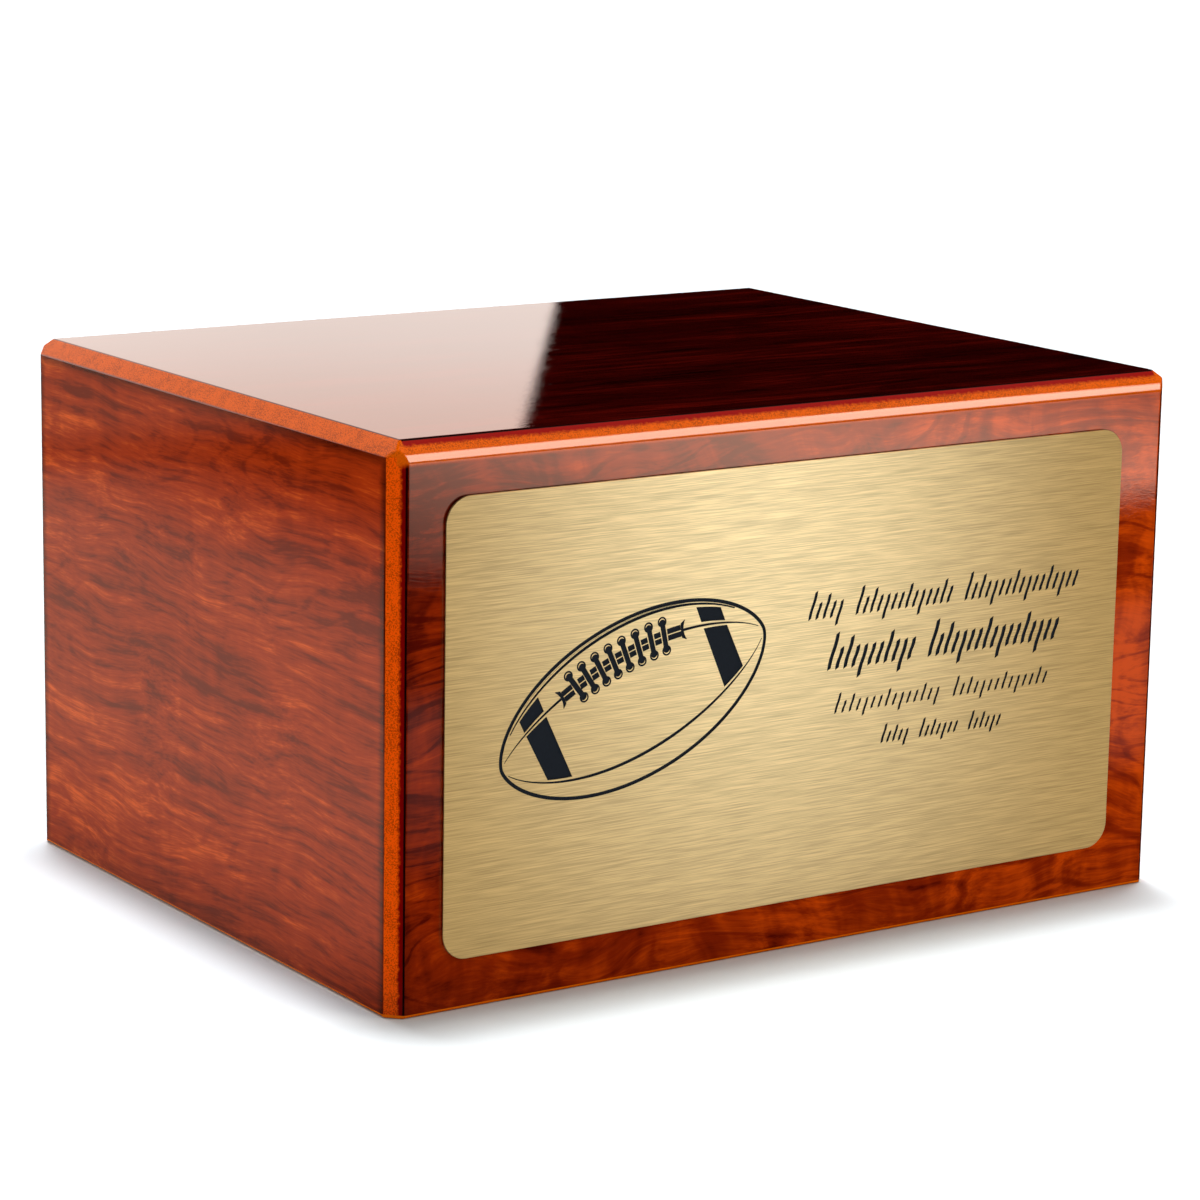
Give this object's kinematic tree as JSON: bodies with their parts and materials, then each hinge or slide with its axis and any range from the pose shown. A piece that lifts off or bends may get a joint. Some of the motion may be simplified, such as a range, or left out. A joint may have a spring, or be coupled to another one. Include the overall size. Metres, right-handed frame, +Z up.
{
  "type": "cremation urn box",
  "caption": "Hollow rectangular urn box of stained mitred boards with bevelled edges, a screwed bottom board and an engraved brass plate on its front.",
  "frame": {"origin": "centre of the underside, on the surface that the box stands on", "axes": "+X along the front from left to right, +Y from the front with its plate towards the back, +Z up"},
  "size_m": [0.23, 0.1835, 0.1345],
  "materials": {
    "stained_veneer": "red-brown stained burl veneer under clear gloss lacquer",
    "base_board": "plain brown fibreboard, matt",
    "zinc_plated_steel": "yellow zinc plated",
    "brushed_brass": "brushed brass, engraving filled with dark paint"
  },
  "bodies": {
    "root": {"top_panel": "stained_veneer", "front_panel": "stained_veneer", "back_panel": "stained_veneer", "left_side_panel": "stained_veneer", "right_side_panel": "stained_veneer", "bottom_panel": "base_board", "bottom_screw_1": "zinc_plated_steel", "bottom_screw_2": "zinc_plated_steel", "bottom_screw_3": "zinc_plated_steel", "bottom_screw_4": "zinc_plated_steel", "name_plate": "brushed_brass"}
  },
  "joints": []
}
